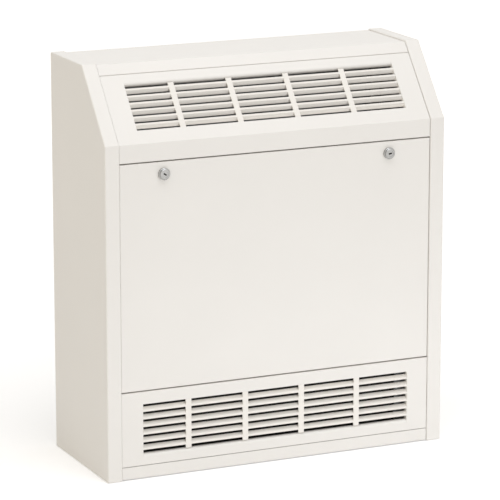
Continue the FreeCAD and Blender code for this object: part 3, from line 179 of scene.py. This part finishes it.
# %% [markdown]
# ## Coat of the upper grille
# The flush front strips of the upper grille are painted darker and the blade faces behind them paler. This
# is painted shade on the strips, and painted light on the faces that stands in for light reaching in between
# the louvres. No mask is painted; a ramp over the depth below the slope sets the coat's colour. The slope's
# plane is read off the sloped panel.

# %% Plane of the slope
# The rise of a face's normal is near 0 on an upright face and near 1 on a level one.
UPRIGHT_FACE = 0.1
LEVEL_FACE = 0.9


def slope_plane(panel):
    """The direction into a panel's sloped face, and where along it that face lies."""
    mesh = nodes[panel].data
    leaning = [face for face in mesh.polygons if UPRIGHT_FACE < abs(face.normal.z) < LEVEL_FACE]
    normal = max(leaning, key=lambda face: face.area).normal
    inward = -normal if normal.z > 0 else normal.copy()
    return inward, min(vertex.co.dot(inward) for vertex in mesh.vertices)


slope_inward, slope_start = slope_plane("discharge_panel")
print("into the slope:", [round(part, 4) for part in slope_inward], "from", round(slope_start, 5), "m")

# %% A coat with painted shade in front and painted light behind
WHITE = (1.0, 1.0, 1.0, 1.0)
LOUVRE_PAINTED_LIGHT = (0.985, 0.95, 0.9)
STRIP_PAINTED_SHADE = (0.866, 0.863, 0.852)
PAINTED_SHADE_REACH = 0.0035
STRIP_SHARE = 0.12


def painted_light_coat(name, painted_light, painted_shade, inward, start):
    """Powder coat painted darker where a direction starts and paler deeper in: painted shade in front,
    painted light behind.
    """
    material = powder_coat(name, painted_light, GRILLE_GLOSS)
    tree = material.node_tree
    shader = tree.nodes["Principled BSDF"]
    clean = shader.inputs["Base Color"].links[0].from_socket
    place = tree.nodes.new("ShaderNodeTexCoord")
    depth = tree.nodes.new("ShaderNodeVectorMath")
    depth.operation = "DOT_PRODUCT"
    depth.inputs[1].default_value = inward
    spread = tree.nodes.new("ShaderNodeMapRange")
    spread.inputs["From Min"].default_value = start
    spread.inputs["From Max"].default_value = start + PAINTED_SHADE_REACH
    # The ramp paints shade on the front strips and painted light on the blade faces deeper in.
    fading = tree.nodes.new("ShaderNodeValToRGB")
    first, last = fading.color_ramp.elements
    first.position = STRIP_SHARE
    first.color = (*painted_shade, 1.0)
    last.color = WHITE
    painted_shading = tree.nodes.new("ShaderNodeMix")
    painted_shading.data_type = "RGBA"
    painted_shading.blend_type = "MULTIPLY"
    painted_shading.inputs["Factor"].default_value = 1.0
    tree.links.new(place.outputs["Object"], depth.inputs[0])
    tree.links.new(depth.outputs["Value"], spread.inputs["Value"])
    tree.links.new(spread.outputs["Result"], fading.inputs["Fac"])
    tree.links.new(clean, painted_shading.inputs["A"])
    tree.links.new(fading.outputs["Color"], painted_shading.inputs["B"])
    tree.links.new(painted_shading.outputs["Result"], shader.inputs["Base Color"])


# Painted light on the upper grille's blade faces, painted shade on its front strips.
painted_light_coat("painted_light_coat", LOUVRE_PAINTED_LIGHT, STRIP_PAINTED_SHADE, slope_inward, slope_start)
print("wear reaches", PAINTED_SHADE_REACH * 1000, "mm below the slope")

# %% [markdown]
# ## Bare metals
# Galvanised sheet shows a spangle of pale and dark crystals, which a cell texture gives. Turned and drawn
# metals show fine streaks, so their noise is stretched.

# %% Bare metals
SPANGLE_SCALE = 130.0
DARK_CRYSTAL = 0.8
PALE_CRYSTAL = 1.08
STREAK_SCALE = 300.0
STREAK_TONE = 0.9


def spangled_sheet(name, colour):
    """Zinc-coated sheet whose crystals differ in tone and gloss."""
    material, shader = new_finish(name, colour, roughness=0.4, metallic=0.85)
    spangle = pattern(material, "ShaderNodeTexVoronoi", SPANGLE_SCALE)
    vary_colour(material, shader, spangle, shade(colour, DARK_CRYSTAL), shade(colour, PALE_CRYSTAL))
    vary_roughness(material, shader, spangle, low=0.3, high=0.52)


def drawn_metal(name, colour, roughness, stretch):
    """Bare metal with fine streaks along the axis whose stretch is small."""
    material, shader = new_finish(name, colour, roughness, metallic=1.0)
    streaks = pattern(material, "ShaderNodeTexNoise", STREAK_SCALE, stretch)
    vary_colour(material, shader, streaks, shade(colour, STREAK_TONE), colour)
    vary_roughness(material, shader, streaks, low=roughness * 0.8, high=roughness * 1.25)


spangled_sheet("galvanised", (0.40, 0.405, 0.41))
spangled_sheet("wheel_steel", (0.42, 0.425, 0.43))
drawn_metal("zinc_steel", (0.66, 0.66, 0.63), roughness=0.34, stretch=(1.0, 0.2, 1.0))
drawn_metal("satin_nickel", (0.42, 0.415, 0.402), roughness=0.3, stretch=(1.0, 0.15, 1.0))
drawn_metal("fin_aluminium", (0.76, 0.77, 0.78), roughness=0.36, stretch=(1.0, 1.0, 0.2))
drawn_metal("copper", (0.72, 0.38, 0.24), roughness=0.3, stretch=(0.2, 1.0, 1.0))
drawn_metal("vent_brass", (0.72, 0.56, 0.27), roughness=0.28, stretch=(1.0, 1.0, 0.3))
print("metals:", [name for name in finishes if "coat" not in name])

# %% [markdown]
# ## Paint, plastic, rubber and the filter mat
# These are matt, with a fine grain. The mat is a tangle of fibres, so its relief is deep.

# %% Matt finishes
GRAIN_TONE = 0.82


def matt(name, colour, roughness, grain, height):
    """A dull finish with a grain per metre and a relief in metres."""
    material, shader = new_finish(name, colour, roughness)
    texture = pattern(material, "ShaderNodeTexNoise", grain)
    vary_colour(material, shader, texture, shade(colour, GRAIN_TONE), colour)
    vary_roughness(material, shader, texture, low=roughness * 0.9, high=min(1.0, roughness * 1.1))
    add_relief(material, shader, texture, height, strength=0.6)


matt("motor_black", (0.045, 0.045, 0.05), roughness=0.45, grain=600.0, height=0.00005)
matt("black_rubber", (0.025, 0.025, 0.025), roughness=0.75, grain=500.0, height=0.00006)
matt("black_plastic", (0.03, 0.03, 0.032), roughness=0.5, grain=900.0, height=0.00004)
matt("pale_plastic", (0.72, 0.7, 0.64), roughness=0.5, grain=700.0, height=0.00004)
matt("filter_mat", (0.022, 0.02, 0.018), roughness=0.95, grain=420.0, height=0.002)
print("finishes:", len(finishes))

# %% [markdown]
# ## Dress the pieces
# The imported record names a finish for every piece, so one loop can dress them all. The upper grille takes
# its coat with painted shade on the strips and painted light on the blade faces, in place of the one that it
# would share with the lower grille.

# %% Put the finishes on the pieces
own_finish = {"discharge_grille": "painted_light_coat"}
for entry in frame["record"]["subparts"]:
    mesh = nodes[entry["node"]].data
    mesh.materials.clear()
    mesh.materials.append(finishes[own_finish.get(entry["node"], entry["material_slot"])])

# %% [markdown]
# ## Filter mat
# The mat is a soft felt of fibres that is tucked into the filter's frame. It swells a little between its
# edges and is lumpy all over. A fine grid is moved by smooth noise, which is quicker than a simulation on so
# flat a mat, and its border is then extruded back to give the mat its thickness.

# %% Filter mat
MAT_COLUMNS = 160
MAT_ROWS = 36
LUMP = 0.0005
TUCK = 3 * LUMP
COARSE_LUMPS = 90.0
FINE_LUMPS = 260.0
FINE_SHARE = 0.6


def felt_mat(name, low, high):
    """A lumpy mat that fills a box, with its soft face towards the front."""
    size = high - low
    middle = (low + high) / 2
    felt = bmesh.new()
    bmesh.ops.create_grid(felt, x_segments=MAT_COLUMNS, y_segments=MAT_ROWS, size=0.5)
    stand_up = Matrix.Rotation(math.radians(90), 4, "X")
    bmesh.ops.transform(felt, matrix=stand_up, verts=felt.verts)
    bmesh.ops.scale(felt, vec=(size.x, 1.0, size.z), verts=felt.verts)
    bmesh.ops.translate(felt, vec=(middle.x, low.y, middle.z), verts=felt.verts)
    border = [edge for edge in felt.edges if edge.is_boundary]
    for vertex in felt.verts:
        if vertex.is_boundary:
            vertex.co.y += TUCK
        else:
            fine = FINE_SHARE * noise.noise(vertex.co * FINE_LUMPS)
            vertex.co.y += LUMP * (1.0 + noise.noise(vertex.co * COARSE_LUMPS) + fine)
    extruded = bmesh.ops.extrude_edge_only(felt, edges=border)["geom"]
    for item in extruded:
        if isinstance(item, bmesh.types.BMVert):
            item.co.y = high.y
    bmesh.ops.contextual_create(felt, geom=[edge for edge in felt.edges if edge.is_boundary])
    bmesh.ops.recalc_face_normals(felt, faces=felt.faces)
    mesh = bpy.data.meshes.new(name)
    felt.to_mesh(mesh)
    felt.free()
    mesh.shade_smooth()
    piece = bpy.data.objects.new(name, mesh)
    bpy.context.collection.objects.link(piece)
    return piece


mat_low, mat_high = (Vector(corner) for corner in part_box("filter_media"))
mat = felt_mat("felt_mat", mat_low, mat_high)
mat.data.materials.append(finishes["filter_mat"])
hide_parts("filter_media")
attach(mat, "filter")
print("felt faces:", len(mat.data.polygons))

# %% [markdown]
# ## Cover screws
# Sheet metal in such heaters is held by self-tapping screws with a hexagon head on a round flange. Each head
# is a six-sided prism with a bevelled top on a thin cone, and the four screws of the control cover are one
# piece.

# %% One screw head
HEAD_RADIUS = 0.0028
FLANGE_RADIUS = 0.0042
FLANGE_TOP_RADIUS = FLANGE_RADIUS * 0.9
SCREW_RISE = 0.003
FLANGE_RISE = SCREW_RISE / 3
HEAD_RISE = SCREW_RISE - FLANGE_RISE
HEAD_BEVEL = HEAD_RADIUS * 0.15


def hex_screw(bag, place):
    """Adds one head to a bmesh, with its axis along Y and its seat at place."""
    turn_forward = Matrix.Translation(place) @ Matrix.Rotation(math.radians(90), 4, "X")
    flange_middle = Matrix.Translation((0.0, 0.0, FLANGE_RISE / 2))
    bmesh.ops.create_cone(
        bag, cap_ends=True, segments=24, radius1=FLANGE_RADIUS, radius2=FLANGE_TOP_RADIUS,
        depth=FLANGE_RISE, matrix=turn_forward @ flange_middle,
    )
    head_middle = Matrix.Translation((0.0, 0.0, FLANGE_RISE + HEAD_RISE / 2))
    head = bmesh.ops.create_cone(
        bag, cap_ends=True, segments=6, radius1=HEAD_RADIUS, radius2=HEAD_RADIUS,
        depth=HEAD_RISE, matrix=turn_forward @ head_middle,
    )["verts"]
    front = min(vertex.co.y for vertex in head)
    top = {vertex for vertex in head if abs(vertex.co.y - front) < HEAD_RISE / 2}
    rim = [edge for edge in bag.edges if set(edge.verts) <= top]
    bmesh.ops.bevel(
        bag, geom=rim, offset=HEAD_BEVEL, affect="EDGES", segments=2, profile=0.5, material=-1,
    )


print("screw heads rise", SCREW_RISE * 1000, "mm")

# %% Four screws on the cover
SCREW_INSET = 0.007


def cover_screws(name, cover):
    """Four screws in the corners of a cover that faces the front."""
    low, high = (Vector(corner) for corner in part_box(cover))
    bag = bmesh.new()
    for x in (low.x + SCREW_INSET, high.x - SCREW_INSET):
        for z in (low.z + SCREW_INSET, high.z - SCREW_INSET):
            hex_screw(bag, (x, low.y, z))
    bmesh.ops.recalc_face_normals(bag, faces=bag.faces)
    mesh = bpy.data.meshes.new(name)
    bag.to_mesh(mesh)
    bag.free()
    piece = bpy.data.objects.new(name, mesh)
    bpy.context.collection.objects.link(piece)
    return piece


screws = cover_screws("cover_screws", "control_cover")
screws.data.materials.append(finishes["zinc_steel"])
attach(screws, "casing")
print("screw faces:", len(screws.data.polygons))

# %% [markdown]
# ## Floor
# The photograph is a cut-out on white with flat, soft light. A large floor is the whole background, because
# the camera looks down. It glows a little for the rays that see it, so that it comes out white, and less so
# close to the heater, where it keeps the shadow. Reflections show the glow, but it casts no diffuse light.


# %% Rays that see the background
def seen_rays(tree):
    """One for rays from the camera, off a gloss or through glass, and nought for diffuse rays."""
    rays = tree.nodes.new("ShaderNodeLightPath")
    seen = rays.outputs["Is Camera Ray"]
    for kind in ("Is Glossy Ray", "Is Transmission Ray"):
        either = tree.nodes.new("ShaderNodeMath")
        either.operation = "MAXIMUM"
        tree.links.new(seen, either.inputs[0])
        tree.links.new(rays.outputs[kind], either.inputs[1])
        seen = either.outputs["Value"]
    return seen


# %% Floor
FLOOR_COLOUR = (0.95, 0.95, 0.95, 1.0)
FLOOR_ROUGHNESS = 0.9
FLOOR_HALF = 12.0
NEAR = 0.4
NEAR_GLOW = 0.25
FAR = 3.0
FAR_GLOW = 0.55


def make_floor():
    """A pale floor whose glow grows with the distance from the heater."""
    bpy.ops.mesh.primitive_plane_add(size=2 * FLOOR_HALF)
    floor = bpy.context.object
    floor.name = "floor"
    material = bpy.data.materials.new("studio_floor")
    material.use_nodes = True
    tree = material.node_tree
    shader = tree.nodes["Principled BSDF"]
    shader.inputs["Base Color"].default_value = FLOOR_COLOUR
    shader.inputs["Roughness"].default_value = FLOOR_ROUGHNESS
    shader.inputs["Emission Color"].default_value = WHITE
    place = tree.nodes.new("ShaderNodeTexCoord")
    distance = tree.nodes.new("ShaderNodeVectorMath")
    distance.operation = "LENGTH"
    glow = tree.nodes.new("ShaderNodeMapRange")
    glow.inputs["From Min"].default_value = NEAR
    glow.inputs["From Max"].default_value = FAR
    glow.inputs["To Min"].default_value = NEAR_GLOW
    glow.inputs["To Max"].default_value = FAR_GLOW
    strength = tree.nodes.new("ShaderNodeMath")
    strength.operation = "MULTIPLY"
    tree.links.new(place.outputs["Object"], distance.inputs[0])
    tree.links.new(distance.outputs["Value"], glow.inputs["Value"])
    tree.links.new(seen_rays(tree), strength.inputs[0])
    tree.links.new(glow.outputs["Result"], strength.inputs[1])
    tree.links.new(strength.outputs["Value"], shader.inputs["Emission Strength"])
    floor.data.materials.append(material)
    return floor


print("floor:", make_floor().name)

# %% [markdown]
# ## Lamps
# About half of the light comes from all round, as in a white tent. One soft box above and a little in front
# lights the top and the slope, one in front lights the door and reaches in between the louvres, and a small
# warm one lifts the left side. A low white card throws a little light back at the foot.

# %% Lamps
MIDDLE = (0.0, 0.0, 0.33)
FOOT = (0.0, -0.11, 0.05)
DAYLIGHT = (0.9, 0.934, 1.0)
WARM = (1.0, 0.85, 0.6)


def soft_box(name, place, aim, width, height, power, colour):
    """A rectangular area lamp that faces a point of the heater."""
    lamp = bpy.data.lights.new(name, "AREA")
    lamp.shape = "RECTANGLE"
    lamp.size = width
    lamp.size_y = height
    lamp.energy = power
    lamp.color = colour
    holder = bpy.data.objects.new(name, lamp)
    bpy.context.collection.objects.link(holder)
    holder.location = place
    holder.visible_camera = False
    ahead = [a - p for a, p in zip(aim, place)]
    tilt = math.atan2(math.hypot(ahead[0], ahead[1]), -ahead[2])
    turn = math.atan2(ahead[1], ahead[0]) - math.pi / 2
    holder.rotation_euler = (tilt, 0.0, turn)


soft_box("overhead", (0.0, -0.75, 3.1), MIDDLE, width=2.5, height=2.5, power=42.0, colour=DAYLIGHT)
soft_box("front", (0.6, -3.2, 1.25), MIDDLE, width=1.5, height=1.5, power=14.0, colour=DAYLIGHT)
soft_box("left", (-2.6, -0.4, 1.3), MIDDLE, width=1.6, height=1.6, power=5.5, colour=WARM)
soft_box("card", (0.15, -0.62, 0.06), FOOT, width=1.4, height=0.1, power=0.65, colour=DAYLIGHT)
print("lamps:", [item.name for item in bpy.data.lights])

# %% [markdown]
# ## Air of the studio
# The white walls of a studio throw light from all sides, which the world gives here with a warm tint. The
# rays that see the background find plain white instead, so metal shows white walls too.

# %% Air of the studio
AIR_TINT = (1.0, 0.955, 0.88, 1.0)
AIR_STRENGTH = 0.543
world = bpy.data.worlds.new("studio_air")
bpy.context.scene.world = world
world.use_nodes = True
tree = world.node_tree
air = tree.nodes["Background"]
air.inputs["Color"].default_value = AIR_TINT
air.inputs["Strength"].default_value = AIR_STRENGTH
backdrop = tree.nodes.new("ShaderNodeBackground")
backdrop.inputs["Color"].default_value = WHITE
backdrop.inputs["Strength"].default_value = 1.0
choose = tree.nodes.new("ShaderNodeMixShader")
tree.links.new(seen_rays(tree), choose.inputs["Fac"])
tree.links.new(air.outputs["Background"], choose.inputs[1])
tree.links.new(backdrop.outputs["Background"], choose.inputs[2])
tree.links.new(choose.outputs["Shader"], tree.nodes["World Output"].inputs["Surface"])
print("air:", AIR_STRENGTH)

# %% [markdown]
# ## Camera
# The camera's place, turn and lens were fitted to the corners of the casing. The lens is long, because the
# photograph's upright edges hardly lean.

# %% Camera
IMAGE_WIDTH = 500.0
FOCAL_PIXELS = 3074.4
CAMERA_PLACE = (-2.0428, -4.4921, 1.4932)
TURN_RIGHT = 24.47
LOOK_DOWN = 13.25
lens = bpy.data.cameras.new("camera")
lens.sensor_width = 36.0
lens.lens = FOCAL_PIXELS / IMAGE_WIDTH * lens.sensor_width
camera = bpy.data.objects.new("camera", lens)
bpy.context.collection.objects.link(camera)
camera.location = CAMERA_PLACE
camera.rotation_euler = (math.radians(90.0 - LOOK_DOWN), 0.0, math.radians(-TURN_RIGHT))
bpy.context.scene.camera = camera
bpy.context.scene.view_settings.view_transform = "Standard"
print("lens:", round(lens.lens, 1), "mm")
